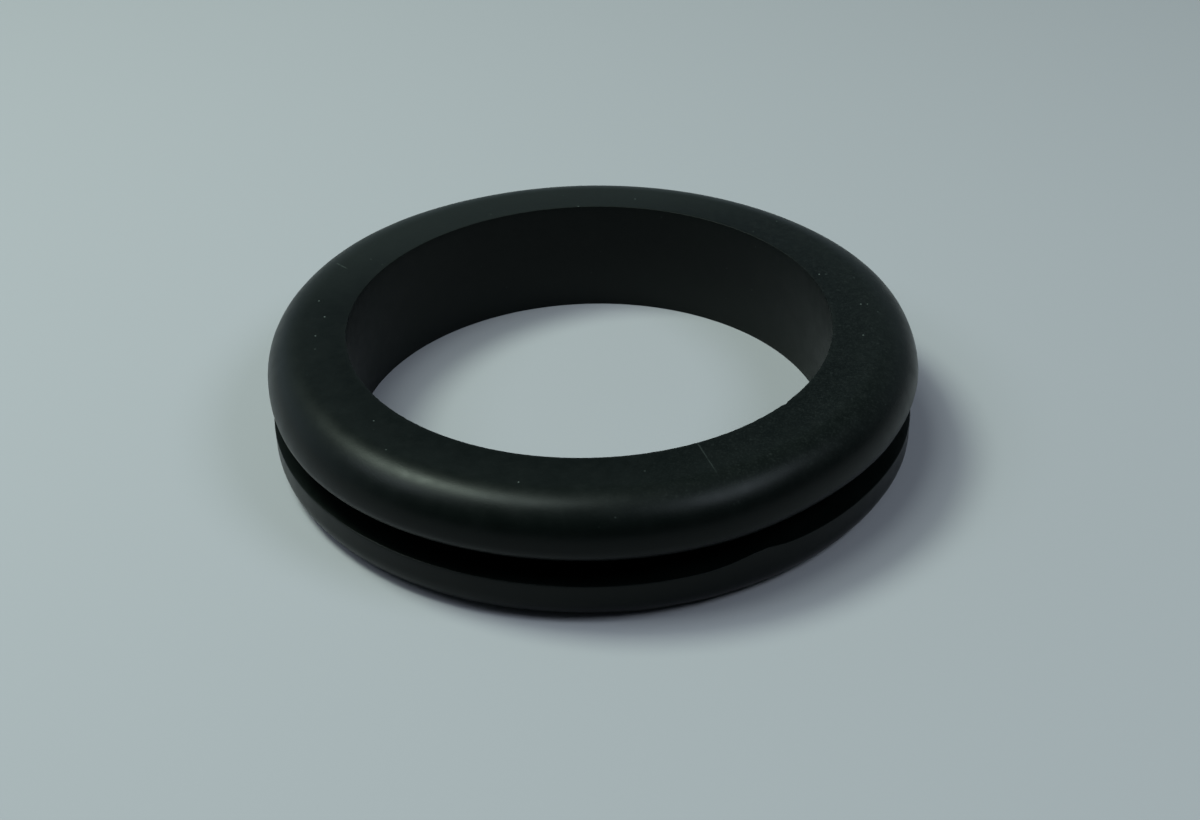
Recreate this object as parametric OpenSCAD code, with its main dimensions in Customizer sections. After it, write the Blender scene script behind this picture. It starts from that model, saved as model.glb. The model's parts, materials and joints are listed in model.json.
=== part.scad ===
// Float grommet: one moulded rubber ring with two flanges and a panel groove between them.
// Millimetres. The origin is the centre of the underside, and +Z is the axis of the bore.

/* [Bore] */
// Diameter of the through bore
bore_d = 44.5; // [24:0.1:60]
// Radius that softens both rims of the bore
rim_r = 0.25; // [0.1:0.05:0.6]

/* [Panel groove] */
// Thickness of the web between the bore and the floor of the groove
web_t = 3.15; // [1.8:0.05:6]
// Width of the groove, which is the thickness of panel that it takes
groove_w = 2.2; // [1.2:0.1:5]
// Fillet radius where the floor of the groove meets each flange
root_r = 0.4; // [0.1:0.05:0.5]

/* [Upper flange] */
// How far the upper flange stands out past the floor of the groove
upper_reach = 4.6; // [3:0.1:9]
// Thickness of the upper flange
upper_t = 5.3; // [3:0.1:9]
// Radius of the broad shoulder between the top face and the side
shoulder_r = 3.7; // [0.8:0.1:5]
// Radius where the side turns under towards the groove
underside_r = 1.5; // [0.3:0.1:2]

/* [Lower flange] */
// How far the lower flange stands out past the floor of the groove
lower_reach = 4.2; // [3:0.1:9]
// Thickness of the lower flange
lower_t = 4; // [2.4:0.1:8]
// Radius of the outer edge that the ring rests on
heel_r = 2.2; // [0.3:0.1:3]

/* [Raised wave in the lower lip] */
// Direction of the crest, turned from +X about the axis
wave_angle = -61.5; // [-180:0.5:180]
// Length of the wave along the lip
wave_len = 11.5; // [4:0.5:16]
// Height of the crest above the rest of the lip
wave_h = 0.65; // [0.2:0.05:1]
// How far the wave reaches in from the edge of the lip
wave_depth = 1.8; // [0.8:0.1:2.8]

/* [Hidden] */
$fn = 180;

bore_r = bore_d / 2;
floor_r = bore_r + web_t;
upper_r = floor_r + upper_reach;
lower_r = floor_r + lower_reach;
groove_top = lower_t + groove_w;
height = groove_top + upper_t;

// The narrow flat strip that is always left between two rounded edges
edge_strip = 0.1;
// The smallest radius that is left under a large shoulder
least_r = 0.2;
shoulder_room = min(upper_t - least_r, upper_r - bore_r - rim_r) - edge_strip;
shoulder = min(shoulder_r, shoulder_room);
underside = min(underside_r, upper_t - shoulder - edge_strip);
heel = min(heel_r, lower_t - edge_strip);
root = min(root_r, groove_w / 2 - edge_strip);

// How far one shape runs into the one that it joins
overlap = 0.1;

// How far a cutting shape runs past the edge that it cuts
past = 1;

// What is cut from a square corner at the origin to leave it rounded. The corner's two sides
// run back along -X and -Y, and r is the radius that is left.
module corner_cut(r) {
    translate([-r, -r])
        difference() {
            square(r + past);
            circle(r);
        }
}

// What fills a square inner corner at the origin, whose open side faces +X and +Y
module root_fill(r) {
    difference() {
        square(r);
        translate([r, r])
            circle(r);
    }
}

// Half of a flange's section, from the bore out, with its two outer corners rounded
module flange_section(outer_r, z, thickness, top_r, bottom_r) {
    difference() {
        translate([bore_r, z])
            square([outer_r - bore_r, thickness]);
        translate([outer_r, z + thickness])
            corner_cut(top_r);
        translate([outer_r, z])
            mirror([0, 1])
                corner_cut(bottom_r);
    }
}

// The lower flange keeps a crisp upper edge, so only its heel is rounded
module lower_flange_section() {
    difference() {
        translate([bore_r, 0])
            square([lower_r - bore_r, lower_t]);
        translate([lower_r, 0])
            mirror([0, 1])
                corner_cut(heel);
    }
}

// The web at the floor of the groove, with a fillet at each flange
module web_section() {
    translate([bore_r, lower_t - overlap])
        square([web_t, groove_w + 2 * overlap]);
    translate([floor_r, lower_t])
        root_fill(root);
    translate([floor_r, groove_top])
        mirror([0, 1])
            root_fill(root);
}

// The whole section on one side of the axis
module ring_section() {
    difference() {
        union() {
            flange_section(upper_r, groove_top, upper_t, shoulder, underside);
            web_section();
            lower_flange_section();
        }
        translate([bore_r, height])
            mirror([1, 0])
                corner_cut(rim_r);
        translate([bore_r, 0])
            mirror([1, 0])
                mirror([0, 1])
                    corner_cut(rim_r);
    }
}

// A low swell in the upper edge of the lower lip. Its top is the side of a large cylinder that
// lies along the radius, so it rises and falls as one shallow arc.
module lip_wave() {
    half = wave_len / 2;
    arch_r = (half * half + wave_h * wave_h) / (2 * wave_h);
    intersection() {
        rotate_extrude()
            translate([lower_r - wave_depth, lower_t - overlap])
                square([wave_depth, wave_h + overlap]);
        rotate([0, 0, wave_angle])
            translate([0, 0, lower_t + wave_h - arch_r])
                rotate([0, 90, 0])
                    cylinder(r = arch_r, h = lower_r + past);
    }
}

module grommet() {
    color([0.12, 0.14, 0.14])
        union() {
            rotate_extrude()
                ring_section();
            lip_wave();
        }
}

grommet();
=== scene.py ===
import json
import math

import bpy
import numpy as np
from mathutils import Matrix, Vector


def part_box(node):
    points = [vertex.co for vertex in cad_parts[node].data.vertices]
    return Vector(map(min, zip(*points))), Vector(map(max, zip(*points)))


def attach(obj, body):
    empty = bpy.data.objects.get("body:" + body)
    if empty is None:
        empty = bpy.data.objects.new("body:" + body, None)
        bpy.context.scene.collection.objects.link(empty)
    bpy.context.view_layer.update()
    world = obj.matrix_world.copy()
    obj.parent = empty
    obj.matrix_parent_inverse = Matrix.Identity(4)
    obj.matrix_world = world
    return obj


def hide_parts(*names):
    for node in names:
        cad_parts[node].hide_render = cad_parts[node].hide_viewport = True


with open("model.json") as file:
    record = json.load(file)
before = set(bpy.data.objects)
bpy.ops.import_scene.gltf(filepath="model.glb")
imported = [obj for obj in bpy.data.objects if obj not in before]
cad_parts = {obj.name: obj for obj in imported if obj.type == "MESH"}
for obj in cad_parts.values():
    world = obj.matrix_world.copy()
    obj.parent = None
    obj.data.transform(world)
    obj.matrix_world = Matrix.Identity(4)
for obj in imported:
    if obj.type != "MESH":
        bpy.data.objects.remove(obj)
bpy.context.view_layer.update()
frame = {"record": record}

# A black rubber ring grommet. It is one moulding, which a finer mesh with all its irregularities
# replaces here, on a plain pale floor in soft studio light.

# ---------------------------------------------------------------- sizes, from the frame
MM = 0.001
mounts = {m["name"]: m for m in frame["record"]["mounts"]}
ring_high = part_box("grommet")[1]
height = ring_high.z
upper_r = ring_high.x
bore_r = mounts["bore"]["dims"]["r_mm"] * MM
floor_r = mounts["panel_groove"]["dims"]["r_mm"] * MM
groove_w = mounts["panel_groove"]["dims"]["length_mm"] * MM
lip_z = mounts["panel_groove"]["pos_m"][2] - groove_w / 2
groove_top = lip_z + groove_w

# ---------------------------------------------------------------- the shape of the section
FLANGE_STEP = 0.4 * MM       # how much less the lower flange stands out than the upper one
SHOULDER_R = 3.7 * MM        # between the top face and the side
UNDERSIDE_R = 1.5 * MM       # where the side turns under towards the groove
HEEL_R = 2.2 * MM            # the outer edge that the ring rests on
ROOT_R = 0.4 * MM            # where the floor of the groove meets each flange
RIM_R = 0.05 * MM            # both rims of the bore
LIP_R = 0.06 * MM            # the upper edge of the lower flange
lower_r = upper_r - FLANGE_STEP

STEPS_ROUND = 600            # points round the ring
NEARLY = 1e-7                # what counts as the same height, in metres

# ---------------------------------------------------------------- the moulding's own irregularities
# Where each flange isn't quite round: direction and width in degrees, and how far it stands out
UPPER_BULGES = (
    (18, 24, 0.29 * MM),
    (60, 44, -0.40 * MM),
    (136, 21, 0.49 * MM),
    (194, 20, -0.38 * MM),
    (309, 14, -0.25 * MM),
    (348, 9, 0.12 * MM),
)
LOWER_BULGES = (
    (215, 30, -0.12 * MM),
    (340, 15, 0.25 * MM),
)

# Both flanges sag slightly at the front
SAG_ANGLE = 283
SAG_WIDTH = 24
SAG_DEPTH = 0.14 * MM

# The raised wave in the lower lip is steep on one side of its crest. On the other side it is a
# narrow hump and a long tail together. Widths are in degrees.
WAVE_ANGLE = -61.5
WAVE_H = 0.65 * MM
WAVE_DEPTH = 1.8 * MM        # how far it reaches in from the edge of the lip
WAVE_STEEP = 7.2
WAVE_HUMP = 3.4
WAVE_TAIL = 11.5
WAVE_HUMP_SHARE = 0.55
WAVE_FADE = 1.5              # the power with which it fades down the side of the flange

# Gentle unevenness of a soft moulding
SIDE_UNEVEN = 0.012 * MM
TOP_UNEVEN = 0.006 * MM

# The top rim of the bore is trimmed by hand, so it wanders a little and has one small nick
TRIM_REACH = 0.4 * MM        # how far from the rim it is felt
TRIM_WANDER = 0.035 * MM
NICK_ANGLE = -42.3
NICK_WIDTH = 0.7
NICK_DEPTH = 0.13 * MM

# ---------------------------------------------------------------- the rubber
ROUGHNESS = 0.35
ROUGHNESS_SPREAD = 0.03
SPECULAR = 0.15
RUBBER = (0.0016, 0.0030, 0.0025, 1)
# The colour of the dusty bloom, which also paints a sheen on the top face
BLOOM_AND_SHEEN = (0.0118, 0.0148, 0.0134, 1)
DUST = (0.10, 0.12, 0.11, 1)
GRAIN_PER_MM = 5.5           # the fine grain of the surface
GRAIN_DEPTH = 0.010 * MM
GRAIN_STRENGTH = 0.5

# What makes the rubber more matt: the bloom with its painted sheen, the marks of use, and the bore as
# a whole
BLOOM_AND_SHEEN_MATT = 0.10
MARKS_MATT = 0.40
BORE_MATT = 0.10

# The sides of the ring on which the bloom lies, and the back side, which is painted lighter as a
# sheen, as directions from the axis
UP = (0, 0, 1)
DUSTY_SIDE = (0.97, -0.25, 0)
MOTTLED_SIDE = (0.97, 0.10, 0)
BACK_SIDE = (-0.35, 0.94, 0)

# How much of the bloom and of the painted sheen each of its parts makes
FLECKS = 0.50
GRAINS = 0.75
CLEANER_SHARE = 0.15         # the share of those two that lies away from the dusty side
MOTTLE_LEAST = 0.08
MOTTLE_MOST = 0.24
CLOUDS = 0.06
# A painted sheen: the back of the top face is painted lighter, standing in for the light it reflects
BACK_SHEEN = 0.56
# A painted sheen: the top face is painted lighter towards the shoulder, standing in for the
# highlight's tail
SHOULDER_SHEEN = 0.18
# The bore is coloured lighter towards its foot
BORE_FOOT_LIGHTER = 0.40

# How strongly each kind of mark shows
SCRATCH_LEAST = 0.05
SCRATCH_MOST = 0.17
LINT_SHOWS = 0.28
SCUFFS_SHOW = 0.07
FINE_DUST_SHOWS = 0.45
FINE_DUST_IN_BORE = 0.35     # as a share of what settles on the top face

# Places on the rubber are in millimetres from here on
BORE_EDGE = bore_r / MM
GROOVE_TOP = groove_top / MM
TOP = height / MM - 0.01      # the top face, a little under the height as it is uneven
STROKE_HALF_WIDTH = 0.09
SCUFF_HALF_WIDTH = 0.10
STROKE_END = 0.1             # how far each end of a stroke fades past its place
STROKE_TAPER = 0.6           # the share of a stroke's length after which it fades
CORE = 0.3                   # the share of a mark's half width in which it shows in full
SPECK_CORE = 0.4             # the same for the grains that stand out


def on_ring(angle, radius, z):
    """A place on the ring, in millimetres, from its angle in degrees and its radius."""
    a = math.radians(angle)
    return (radius * math.cos(a), radius * math.sin(a), z)


# Grains of dust that stand out on the top face: angle in degrees, radius and size
SPECKS = (
    (170.0, 25.7, 0.10),
    (176.5, 24.5, 0.11),
    (-175.7, 25.0, 0.10),
    (-139.0, 24.4, 0.08),
    (-103.3, 26.1, 0.09),
    (-9.9, 25.0, 0.10),
    (2.7, 25.2, 0.11),
    (2.6, 25.8, 0.08),
    (17.6, 23.1, 0.10),
    (43.3, 26.2, 0.08),
    (77.9, 24.2, 0.08),
    (92.0, 22.4, 0.10),
)

# Each stroke runs from one place to another
SCRATCH = (on_ring(-67.2, 22.3, TOP), on_ring(-68.3, 27.3, TOP - 0.03))
LINT = (
    (on_ring(154.2, 27.1, TOP - 0.08), on_ring(154.9, 26.4, TOP)),
    (on_ring(154.9, 26.4, TOP), on_ring(155.6, 25.5, TOP)),
)
SCUFFS = (
    (on_ring(-67.7, 29.2, 10.25), on_ring(-67.5, 29.3, 9.85)),
    (on_ring(-66.8, 29.1, 10.35), on_ring(-66.6, 29.3, 9.80)),
    (on_ring(-65.9, 29.1, 10.30), on_ring(-65.7, 29.3, 9.90)),
)

# ---------------------------------------------------------------- camera, floor and light
CAMERA_ELEVATION = 34.02
CAMERA_DISTANCE = 171.8 * MM
CAMERA_ROLL = 1.37
CAMERA_LENS = 54.0
CAMERA_SENSOR = 36
CAMERA_NEAR = 0.01
CAMERA_FAR = 50
AIM = Vector((0.81, 0.61, 0.90)) * MM

FLOOR_HALF = 2.0
FLOOR_COLOUR = (0.410, 0.402, 0.430, 1)
FLOOR_ROUGHNESS = 0.95
FLOOR_SPECULAR = 0.1

# Each lamp's azimuth and elevation, the width and height that it fills, its level and its colour.
# Angles are in degrees. At a level of 1, a white surface that faces the lamp renders plain white.
LAMP_DISTANCE = 0.45
LAMPS = {
    "key": (161, 60, 18, 18, 0.63, (0.82, 1.0, 0.85)),
    "high": (194, 75, 20, 20, 0.25, (0.84, 1.0, 0.96)),
    "left": (187, 46, 20, 20, 0.12, (0.87, 1.0, 1.12)),
    "fill": (331, 51, 28, 22, 0.24, (0.86, 1.0, 1.12)),
}

ROOM_COLOUR = (0.79, 1.0, 1.13, 1)
SWEEP_LEVEL = 0.17           # low down, all over the half of the room behind the ring
SWEEP_SIDE = (-0.09, 1.0, 0)
GLOW_LEVEL = 0.26            # a pale patch straight behind it
GLOW_SIDE = (0.04, 1.0, 0)
LEFT_LEVEL = 0.42            # low down on its left
LEFT_SIDE = (-0.94, 0.34, 0)
DIM_LEVEL = 0.03             # everywhere
OVERHEAD_LEVEL = 0.15        # straight above


# ---------------------------------------------------------------- the ring's section
def arc(centre_r, centre_z, radius, start, end, steps):
    """Points on an arc in the section, from one angle to the other, in degrees above +R."""
    angles = np.radians(np.linspace(start, end, steps))
    return np.stack([centre_r + radius * np.cos(angles), centre_z + radius * np.sin(angles)], 1)


def run(a, b, steps):
    """Points on a straight run, without its two ends, which the neighbouring arcs hold."""
    t = np.linspace(0, 1, steps + 2)[1:-1]
    return np.outer(1 - t, a) + np.outer(t, b)


def section():
    """The closed outline of the ring's section, clockwise from the foot of the bore."""
    top_out = upper_r - SHOULDER_R
    return np.concatenate([
        arc(bore_r + RIM_R, RIM_R, RIM_R, 270, 180, steps=5),
        run((bore_r, RIM_R), (bore_r, height - RIM_R), steps=14),
        arc(bore_r + RIM_R, height - RIM_R, RIM_R, 180, 90, steps=7),
        run((bore_r + RIM_R, height), (top_out, height), steps=12),
        arc(top_out, height - SHOULDER_R, SHOULDER_R, 90, 0, steps=22),
        arc(upper_r - UNDERSIDE_R, groove_top + UNDERSIDE_R, UNDERSIDE_R, 0, -90, steps=10),
        run((upper_r - UNDERSIDE_R, groove_top), (floor_r + ROOT_R, groove_top), steps=4),
        arc(floor_r + ROOT_R, groove_top - ROOT_R, ROOT_R, 90, 180, steps=4),
        run((floor_r, groove_top - ROOT_R), (floor_r, lip_z + ROOT_R), steps=2),
        arc(floor_r + ROOT_R, lip_z + ROOT_R, ROOT_R, 180, 270, steps=4),
        run((floor_r + ROOT_R, lip_z), (lower_r - LIP_R, lip_z), steps=9),
        arc(lower_r - LIP_R, lip_z - LIP_R, LIP_R, 90, 0, steps=4),
        run((lower_r, lip_z - LIP_R), (lower_r, HEEL_R), steps=6),
        arc(lower_r - HEEL_R, HEEL_R, HEEL_R, 0, -90, steps=10),
        run((lower_r - HEEL_R, 0), (bore_r + RIM_R, 0), steps=5),
    ])


# ---------------------------------------------------------------- the ring's mesh
def turned_from(angle, centre):
    """How far an angle is turned from another, from -180 to 180 degrees."""
    return (angle - centre + 180) % 360 - 180


def bell(angle, centre, width):
    """A smooth bump round the ring, 1 at its centre, with all angles in degrees."""
    return np.exp(-(turned_from(angle, centre) / width) ** 2)


def bulge(angle, bulges):
    """How far a flange stands out from a true circle."""
    return sum(amount * bell(angle, centre, width) for centre, width, amount in bulges)


def ripple(angle, along, seed, drift, count, fewest, most):
    """A sum of small sine waves round the ring, from -1 to 1, that drifts along the section."""
    rng = np.random.RandomState(seed)
    total = np.zeros_like(angle)
    for _ in range(count):
        waves = rng.randint(fewest, most)
        phase = rng.uniform(0, 2 * math.pi)
        slant = rng.uniform(-drift, drift)
        total += np.sin(np.radians(angle) * waves + phase + along * slant)
    return total / count


def lip_wave(angle):
    """The height of the wave in the lower lip, from 0 to 1."""
    hump = WAVE_HUMP_SHARE * bell(angle, WAVE_ANGLE, WAVE_HUMP)
    tail = (1 - WAVE_HUMP_SHARE) * bell(angle, WAVE_ANGLE, WAVE_TAIL)
    steep = bell(angle, WAVE_ANGLE, WAVE_STEEP)
    return np.where(turned_from(angle, WAVE_ANGLE) > 0, hump + tail, steep)


def shifts(angle, r, z):
    """How far each point of a true ring moves outward and upward."""
    outward = (r - bore_r) / (upper_r - bore_r)
    in_lower = z <= lip_z + NEARLY
    shift_r = outward ** 2 * np.where(in_lower, bulge(angle, LOWER_BULGES), bulge(angle, UPPER_BULGES))

    # The wave fades in from its edge and down its side, and so does the sag of the lower flange
    sag = SAG_DEPTH * bell(angle, SAG_ANGLE, SAG_WIDTH)
    from_edge = np.clip((r - (lower_r - WAVE_DEPTH)) / WAVE_DEPTH, 0, 1)
    up_the_side = np.where(in_lower, np.clip(z / lip_z, 0, 1), 0)
    shift_z = (WAVE_H * lip_wave(angle) - sag) * from_edge * up_the_side ** WAVE_FADE

    # The sag of the upper flange fades out towards its top face
    in_upper = z > groove_top - NEARLY
    below_top = np.where(in_upper, (height - z) / (height - groove_top), 0)
    shift_z -= sag * outward ** 2 * below_top

    side = ripple(angle, z / MM, seed=3, drift=0.5, count=7, fewest=9, most=46)
    shift_r += SIDE_UNEVEN * outward * side
    top = ripple(angle, r / MM, seed=5, drift=0.6, count=7, fewest=8, most=40)
    shift_z -= TOP_UNEVEN * (1 + top) * (z > groove_top)

    near_rim = np.exp(-((r - bore_r) ** 2 + (z - height) ** 2) / TRIM_REACH ** 2)
    trim = ripple(angle, 0 * z, seed=11, drift=0, count=12, fewest=40, most=190)
    shift_r += near_rim * (TRIM_WANDER * trim + NICK_DEPTH * bell(angle, NICK_ANGLE, NICK_WIDTH))
    return shift_r, shift_z


def ring_mesh():
    """The moulding: its section carried round the ring, with every irregularity."""
    outline = section()
    rows = len(outline)
    angle = np.repeat(np.linspace(0, 360, STEPS_ROUND, endpoint=False)[None], rows, 0)
    r = np.repeat(outline[:, :1], STEPS_ROUND, 1)
    z = np.repeat(outline[:, 1:], STEPS_ROUND, 1)
    shift_r, shift_z = shifts(angle, r, z)

    # However it wanders, the moulding stays inside its own square box
    across = np.cos(np.radians(angle))
    along = np.sin(np.radians(angle))
    widest = upper_r / np.maximum(np.abs(across), np.abs(along))
    radius = np.minimum(r + shift_r, widest)
    points = np.stack([radius * across, radius * along, z + shift_z], -1).reshape(-1, 3)

    row, step = np.meshgrid(np.arange(rows), np.arange(STEPS_ROUND), indexing="ij")
    this_row = row * STEPS_ROUND
    next_row = (row + 1) % rows * STEPS_ROUND
    next_step = (step + 1) % STEPS_ROUND
    corners = [this_row + step, next_row + step, next_row + next_step, this_row + next_step]
    quads = np.stack(corners, -1).reshape(-1, 4)

    mesh = bpy.data.meshes.new("grommet_moulding")
    mesh.from_pydata(points.tolist(), [], quads.tolist())
    mesh.shade_smooth()
    mesh.validate()
    return mesh


# ---------------------------------------------------------------- node helpers
def plug(tree, socket, value):
    """Feeds a socket from another node's output, or sets it to a plain value."""
    if isinstance(value, bpy.types.NodeSocket):
        tree.links.new(value, socket)
    else:
        socket.default_value = value


def fold(tree, operation, values):
    """Works through the values with one kind of sum, two at a time."""
    result = values[0]
    for value in values[1:]:
        node = tree.nodes.new("ShaderNodeMath")
        node.operation = operation
        plug(tree, node.inputs[0], result)
        plug(tree, node.inputs[1], value)
        result = node.outputs[0]
    return result


def times(tree, *values):
    return fold(tree, "MULTIPLY", values)


def plus(tree, *values):
    return fold(tree, "ADD", values)


def largest(tree, *values):
    return fold(tree, "MAXIMUM", values)


def vector_node(tree, operation, first, second):
    """A sum on two vectors, the first from another node's output."""
    node = tree.nodes.new("ShaderNodeVectorMath")
    node.operation = operation
    plug(tree, node.inputs[0], first)
    plug(tree, node.inputs[1], second)
    return node.outputs


def distance_to(tree, place, point):
    return vector_node(tree, "DISTANCE", place, point)["Value"]


def dot(tree, place, direction):
    return vector_node(tree, "DOT_PRODUCT", place, direction)["Value"]


def blend(tree, amount, a, b):
    """The colour a, turning into the colour b as the amount goes from 0 to 1."""
    node = tree.nodes.new("ShaderNodeMix")
    node.data_type = "RGBA"
    plug(tree, node.inputs["Factor"], amount)
    plug(tree, node.inputs["A"], a)
    plug(tree, node.inputs["B"], b)
    return node.outputs["Result"]


def ramp(tree, value, low, high, to_low=0.0, to_high=1.0):
    """A smooth step: to_low where the value is low, and to_high where it is high."""
    node = tree.nodes.new("ShaderNodeMapRange")
    node.interpolation_type = "SMOOTHSTEP"
    plug(tree, node.inputs["Value"], value)
    node.inputs["From Min"].default_value = low
    node.inputs["From Max"].default_value = high
    node.inputs["To Min"].default_value = to_low
    node.inputs["To Max"].default_value = to_high
    return node.outputs["Result"]


def noise(tree, place, per_mm, detail, roughness):
    node = tree.nodes.new("ShaderNodeTexNoise")
    plug(tree, node.inputs["Vector"], place)
    node.inputs["Scale"].default_value = per_mm
    node.inputs["Detail"].default_value = detail
    node.inputs["Roughness"].default_value = roughness
    return node.outputs[0]


def place_in_mm(tree):
    """Where a point lies on the object, in millimetres."""
    coordinates = tree.nodes.new("ShaderNodeTexCoord")
    scale = tree.nodes.new("ShaderNodeVectorMath")
    scale.operation = "SCALE"
    scale.inputs["Scale"].default_value = 1 / MM
    tree.links.new(coordinates.outputs["Object"], scale.inputs[0])
    return scale.outputs["Vector"]


def from_axis_in_mm(tree, place):
    """How far a place is from the axis of the bore."""
    across = vector_node(tree, "MULTIPLY", place, (1, 1, 0))["Vector"]
    return distance_to(tree, across, (0, 0, 0))


# ---------------------------------------------------------------- marks on the rubber
def speck_mask(tree, place):
    """1 on each of the few grains that stand out."""
    grains = [0.0]
    for angle, radius, size in SPECKS:
        away = distance_to(tree, place, on_ring(angle, radius, TOP))
        grains.append(ramp(tree, away, low=size, high=size * SPECK_CORE))
    return largest(tree, *grains)


def dust_mask(tree, place, per_mm, size, share):
    """Up to 1 on fine grains scattered at random: one in each cell, in a share of the cells."""
    grains = tree.nodes.new("ShaderNodeTexVoronoi")
    tree.links.new(place, grains.inputs["Vector"])
    grains.inputs["Scale"].default_value = per_mm
    size_in_cells = size * per_mm
    away = grains.outputs["Distance"]
    near = ramp(tree, away, low=size_in_cells, high=size_in_cells * CORE)
    pick = tree.nodes.new("ShaderNodeSeparateColor")
    tree.links.new(grains.outputs["Color"], pick.inputs["Color"])
    kept = fold(tree, "LESS_THAN", (pick.outputs["Red"], share))
    return times(tree, near, kept, pick.outputs["Green"])


def stroke_mask(tree, place, start, end, half_width):
    """1 along a fine straight stroke between two places, soft at its sides and its ends."""
    whole = Vector(end) - Vector(start)
    along = whole.normalized()
    from_start = vector_node(tree, "SUBTRACT", place, start)["Vector"]
    run_on = dot(tree, from_start, along)
    on_line = tree.nodes.new("ShaderNodeVectorMath")
    on_line.operation = "SCALE"
    on_line.inputs[0].default_value = along
    tree.links.new(run_on, on_line.inputs["Scale"])
    off_line = distance_to(tree, from_start, on_line.outputs["Vector"])
    beside = ramp(tree, off_line, low=half_width, high=half_width * CORE)
    begun = ramp(tree, run_on, low=-STROKE_END, high=STROKE_END)
    not_over = ramp(tree, run_on, low=whole.length + STROKE_END, high=whole.length * STROKE_TAPER)
    return times(tree, beside, begun, not_over)


def strokes_mask(tree, place, strokes, half_width):
    masks = [stroke_mask(tree, place, start, end, half_width) for start, end in strokes]
    return largest(tree, *masks)


def mark_mask(tree, place, faces_up, in_bore):
    """Grains of dust, a scratch, a hair of lint and a few scuffs, from 0 to 1."""
    patchy = noise(tree, place, per_mm=1.6, detail=2.0, roughness=0.5)
    broken = ramp(tree, patchy, low=0.3, high=0.55, to_low=SCRATCH_LEAST, to_high=SCRATCH_MOST)
    scratch = times(tree, stroke_mask(tree, place, *SCRATCH, STROKE_HALF_WIDTH), broken)
    lint = times(tree, strokes_mask(tree, place, LINT, STROKE_HALF_WIDTH), LINT_SHOWS)
    scuffs = times(tree, strokes_mask(tree, place, SCUFFS, SCUFF_HALF_WIDTH), SCUFFS_SHOW)
    settled = largest(tree, faces_up, times(tree, in_bore, FINE_DUST_IN_BORE))
    grains = dust_mask(tree, place, per_mm=0.80, size=0.12, share=0.40)
    fine = times(tree, grains, FINE_DUST_SHOWS, settled)
    return largest(tree, speck_mask(tree, place), fine, scratch, lint, scuffs)


# ---------------------------------------------------------------- the rubber's material
def top_bloom(tree, place):
    """The bloom on the top face: flecks and grains on its dusty side, and mottling all over."""
    fine = noise(tree, place, per_mm=4.8, detail=2.0, roughness=0.70)
    flecks = ramp(tree, fine, low=0.50, high=0.68, to_high=FLECKS)
    grains = times(tree, dust_mask(tree, place, per_mm=1.25, size=0.20, share=0.60), GRAINS)
    toward = dot(tree, place, DUSTY_SIDE)
    dusty = ramp(tree, toward, low=4.0, high=22.0, to_low=CLEANER_SHARE)

    coarse = noise(tree, place, per_mm=1.4, detail=4.0, roughness=0.72)
    patches = ramp(tree, coarse, low=0.46, high=0.62)
    toward = dot(tree, place, MOTTLED_SIDE)
    mottled = ramp(tree, toward, low=2.0, high=22.0, to_low=MOTTLE_LEAST, to_high=MOTTLE_MOST)
    return plus(tree, times(tree, plus(tree, flecks, grains), dusty), times(tree, patches, mottled))


def bloom_and_sheen_mask(tree, place, faces_up, from_axis, in_bore):
    """How much of the faint dusty bloom, and of the painted sheen, lies at each place."""
    # A thin film lies everywhere, in clouds. The back of the top face and its outer part towards the
    # shoulder are painted lighter, a painted sheen that stands in for the light they reflect. The bore
    # is coloured lighter towards its foot.
    cloudy = noise(tree, place, per_mm=0.30, detail=3.0, roughness=0.6)
    clouds = ramp(tree, cloudy, low=0.35, high=0.70, to_high=CLOUDS)
    back = ramp(tree, dot(tree, place, BACK_SIDE), low=10.0, high=23.0, to_high=BACK_SHEEN)
    out_from = BORE_EDGE + 0.35
    shoulder = ramp(tree, from_axis, low=out_from, high=out_from + 4.4, to_high=SHOULDER_SHEEN)
    foot = ramp(tree, dot(tree, place, UP), low=7.0, high=1.0, to_high=BORE_FOOT_LIGHTER)
    on_top = plus(tree, top_bloom(tree, place), back, shoulder)
    return plus(tree, times(tree, on_top, faces_up), clouds, times(tree, in_bore, foot))


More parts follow.
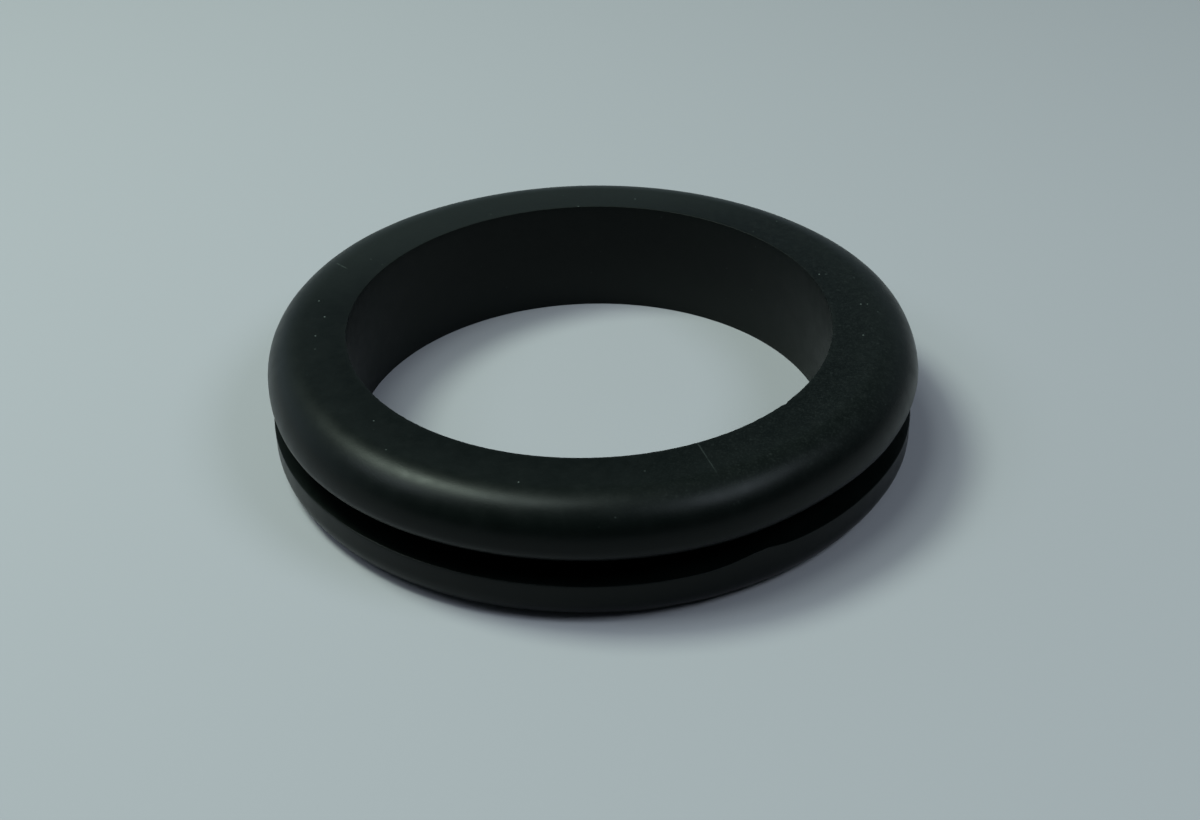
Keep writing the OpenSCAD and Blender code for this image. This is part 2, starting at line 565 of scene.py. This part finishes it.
def rubber_material():
    """Satin black rubber: a faint dusty bloom with a painted sheen, a fine grain, and the marks of
    use.
    """
    material = bpy.data.materials.new("black_rubber")
    material.use_nodes = True
    tree = material.node_tree
    shader = tree.nodes["Principled BSDF"]
    place = place_in_mm(tree)
    normal = tree.nodes.new("ShaderNodeNewGeometry").outputs["Normal"]
    level = ramp(tree, dot(tree, normal, UP), low=0.35, high=0.95)
    above = ramp(tree, dot(tree, place, UP), low=GROOVE_TOP + 0.3, high=GROOVE_TOP + 2.3)
    faces_up = times(tree, level, above)
    from_axis = from_axis_in_mm(tree, place)
    in_bore = ramp(tree, from_axis, low=BORE_EDGE + 0.35, high=BORE_EDGE + 0.05)

    # The bloom colour also paints a sheen on the back and the outer part of the top face
    bloom_and_sheen = bloom_and_sheen_mask(tree, place, faces_up, from_axis, in_bore)
    marks = mark_mask(tree, place, faces_up, in_bore)
    colour = blend(tree, marks, blend(tree, bloom_and_sheen, RUBBER, BLOOM_AND_SHEEN), DUST)
    tree.links.new(colour, shader.inputs["Base Color"])

    uneven = noise(tree, place, per_mm=0.6, detail=3.0, roughness=0.6)
    smoothest = ROUGHNESS - ROUGHNESS_SPREAD
    roughest = ROUGHNESS + ROUGHNESS_SPREAD
    worn = ramp(tree, uneven, low=0.25, high=0.75, to_low=smoothest, to_high=roughest)
    bloom_and_sheen_matt = times(tree, bloom_and_sheen, BLOOM_AND_SHEEN_MATT)
    marks_matt = times(tree, marks, MARKS_MATT)
    bore_matt = times(tree, in_bore, BORE_MATT)
    tree.links.new(plus(tree, worn, bloom_and_sheen_matt, marks_matt, bore_matt), shader.inputs["Roughness"])
    shader.inputs["Specular IOR Level"].default_value = SPECULAR

    bump = tree.nodes.new("ShaderNodeBump")
    bump.inputs["Strength"].default_value = GRAIN_STRENGTH
    bump.inputs["Distance"].default_value = GRAIN_DEPTH
    grain = noise(tree, place, per_mm=GRAIN_PER_MM, detail=3.0, roughness=0.6)
    tree.links.new(grain, bump.inputs["Height"])
    tree.links.new(bump.outputs["Normal"], shader.inputs["Normal"])
    return material


def make_moulding():
    moulding = bpy.data.objects.new("grommet_moulding", ring_mesh())
    bpy.context.scene.collection.objects.link(moulding)
    moulding.data.materials.append(rubber_material())
    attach(moulding, "root")
    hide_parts("grommet")


# ---------------------------------------------------------------- camera, floor and light
def make_camera():
    data = bpy.data.cameras.new("camera")
    data.sensor_fit = "HORIZONTAL"
    data.sensor_width = CAMERA_SENSOR
    data.lens = CAMERA_LENS
    data.clip_start = CAMERA_NEAR
    data.clip_end = CAMERA_FAR
    camera = bpy.data.objects.new("camera", data)
    bpy.context.scene.collection.objects.link(camera)
    e = math.radians(CAMERA_ELEVATION)
    camera.location = Vector((0, -math.cos(e), math.sin(e))) * CAMERA_DISTANCE
    look = (AIM - camera.location).to_track_quat("-Z", "Y").to_matrix()
    roll = Matrix.Rotation(math.radians(-CAMERA_ROLL), 3, "Z")
    camera.rotation_euler = (look @ roll).to_euler()
    bpy.context.scene.camera = camera


def make_floor():
    mesh = bpy.data.meshes.new("floor")
    corners = [(-1, -1), (1, -1), (1, 1), (-1, 1)]
    points = [(x * FLOOR_HALF, y * FLOOR_HALF, 0) for x, y in corners]
    mesh.from_pydata(points, [], [(0, 1, 2, 3)])
    floor = bpy.data.objects.new("floor", mesh)
    bpy.context.scene.collection.objects.link(floor)
    material = bpy.data.materials.new("floor_cloth")
    material.use_nodes = True
    shader = material.node_tree.nodes["Principled BSDF"]
    shader.inputs["Base Color"].default_value = FLOOR_COLOUR
    shader.inputs["Roughness"].default_value = FLOOR_ROUGHNESS
    shader.inputs["Specular IOR Level"].default_value = FLOOR_SPECULAR
    mesh.materials.append(material)


def make_lamp(name, azimuth, elevation, width, tall, level, colour):
    """An oval soft lamp, aimed at the object."""
    data = bpy.data.lights.new(name, "AREA")
    data.shape = "ELLIPSE"
    data.size = 2 * LAMP_DISTANCE * math.tan(math.radians(width / 2))
    data.size_y = 2 * LAMP_DISTANCE * math.tan(math.radians(tall / 2))
    data.energy = level * (math.pi * LAMP_DISTANCE) ** 2
    data.color = colour
    light = bpy.data.objects.new(name, data)
    bpy.context.scene.collection.objects.link(light)
    a = math.radians(azimuth)
    e = math.radians(elevation)
    way = Vector((math.cos(a) * math.cos(e), math.sin(a) * math.cos(e), math.sin(e)))
    light.location = way * LAMP_DISTANCE
    light.rotation_euler = light.location.to_track_quat("Z", "Y").to_euler()


def make_world():
    """A dim room, a little lighter overhead, low down behind the object and on its left."""
    world = bpy.data.worlds.new("studio")
    bpy.context.scene.world = world
    world.use_nodes = True
    tree = world.node_tree
    background = tree.nodes["Background"]
    way = tree.nodes.new("ShaderNodeTexCoord").outputs["Generated"]
    up = dot(tree, way, UP)
    behind = ramp(tree, dot(tree, way, SWEEP_SIDE), low=-0.1, high=0.5)
    sweep = times(tree, ramp(tree, up, low=0.64, high=0.35, to_high=SWEEP_LEVEL), behind)
    glow = ramp(tree, dot(tree, way, GLOW_SIDE), low=0.93, high=1.0, to_high=GLOW_LEVEL)
    on_left = ramp(tree, dot(tree, way, LEFT_SIDE), low=0.6, high=1.0)
    left = times(tree, ramp(tree, up, low=0.85, high=0.05, to_high=LEFT_LEVEL), on_left)
    overhead = ramp(tree, up, low=0.7, high=0.95, to_low=DIM_LEVEL, to_high=OVERHEAD_LEVEL)
    tree.links.new(plus(tree, sweep, glow, left, overhead), background.inputs["Strength"])
    background.inputs["Color"].default_value = ROOM_COLOUR


make_moulding()
make_camera()
make_floor()
make_world()
for lamp_name, lamp in LAMPS.items():
    make_lamp(lamp_name, *lamp)

bpy.context.scene.view_settings.view_transform = "Standard"
